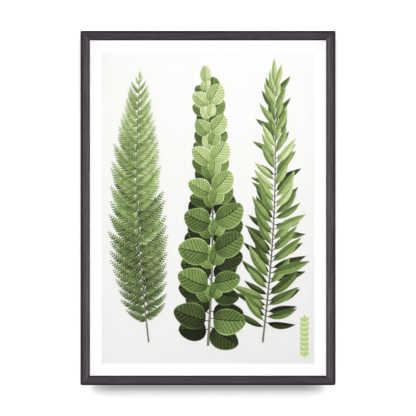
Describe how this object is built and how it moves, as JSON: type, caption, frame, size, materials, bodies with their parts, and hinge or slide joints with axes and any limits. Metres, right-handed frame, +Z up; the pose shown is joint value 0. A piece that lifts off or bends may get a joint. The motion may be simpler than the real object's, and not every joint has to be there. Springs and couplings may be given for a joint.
{
  "type": "framed botanical print",
  "caption": "Slim dark wood picture frame holding a botanical print behind clear glazing, with turn buttons and a sawtooth hanger on its back for hanging on a wall nail.",
  "frame": {"origin": "the nail's seat in the middle notch of the sawtooth hanger, on the wall's surface", "axes": "+X to the right as the picture is looked at, +Y into the wall, +Z up; the picture faces -Y"},
  "size_m": [0.447, 0.022, 0.621],
  "materials": {
    "stained_wood": "satin",
    "acrylic": "gloss",
    "print_paper": "matte",
    "packing_card": "matte",
    "hardboard": "matte",
    "zinc_plate": "satin",
    "screw_steel": "satin",
    "brass_plate": "satin",
    "bumper_rubber": "matte"
  },
  "bodies": {
    "frame": {"rail_top": "stained_wood", "rail_bottom": "stained_wood", "rail_left": "stained_wood", "rail_right": "stained_wood", "glazing": "acrylic", "printed_sheet": "print_paper", "packing_card": "packing_card", "backing_board": "hardboard", "button_screw_top_left": "screw_steel", "button_screw_top_right": "screw_steel", "button_screw_bottom_left": "screw_steel", "button_screw_bottom_right": "screw_steel", "button_screw_left_upper": "screw_steel", "button_screw_left_lower": "screw_steel", "button_screw_right_upper": "screw_steel", "button_screw_right_lower": "screw_steel", "sawtooth_hanger": "brass_plate", "hanger_nail_left": "brass_plate", "hanger_nail_right": "brass_plate", "v_nail_top_left": "screw_steel", "v_nail_top_right": "screw_steel", "v_nail_bottom_left": "screw_steel", "v_nail_bottom_right": "screw_steel", "bumper_left": "bumper_rubber", "bumper_right": "bumper_rubber"},
    "button_top_left": {"turn_button_top_left": "zinc_plate"},
    "button_top_right": {"turn_button_top_right": "zinc_plate"},
    "button_bottom_left": {"turn_button_bottom_left": "zinc_plate"},
    "button_bottom_right": {"turn_button_bottom_right": "zinc_plate"},
    "button_left_upper": {"turn_button_left_upper": "zinc_plate"},
    "button_left_lower": {"turn_button_left_lower": "zinc_plate"},
    "button_right_upper": {"turn_button_right_upper": "zinc_plate"},
    "button_right_lower": {"turn_button_right_lower": "zinc_plate"}
  },
  "joints": [
    {"name": "top_left_turn", "type": "hinge", "parent": "frame", "child": "button_top_left", "pos_m": [-0.105, -0.004, 0.00425], "axis": [0, 1, 0], "continuous": true},
    {"name": "top_right_turn", "type": "hinge", "parent": "frame", "child": "button_top_right", "pos_m": [0.105, -0.004, 0.00425], "axis": [0, 1, 0], "continuous": true},
    {"name": "bottom_left_turn", "type": "hinge", "parent": "frame", "child": "button_bottom_left", "pos_m": [-0.105, -0.004, -0.60425], "axis": [0, 1, 0], "continuous": true},
    {"name": "bottom_right_turn", "type": "hinge", "parent": "frame", "child": "button_bottom_right", "pos_m": [0.105, -0.004, -0.60425], "axis": [0, 1, 0], "continuous": true},
    {"name": "left_upper_turn", "type": "hinge", "parent": "frame", "child": "button_left_upper", "pos_m": [-0.21725, -0.004, -0.15], "axis": [0, 1, 0], "continuous": true},
    {"name": "left_lower_turn", "type": "hinge", "parent": "frame", "child": "button_left_lower", "pos_m": [-0.21725, -0.004, -0.45], "axis": [0, 1, 0], "continuous": true},
    {"name": "right_upper_turn", "type": "hinge", "parent": "frame", "child": "button_right_upper", "pos_m": [0.21725, -0.004, -0.15], "axis": [0, 1, 0], "continuous": true},
    {"name": "right_lower_turn", "type": "hinge", "parent": "frame", "child": "button_right_lower", "pos_m": [0.21725, -0.004, -0.45], "axis": [0, 1, 0], "continuous": true}
  ]
}
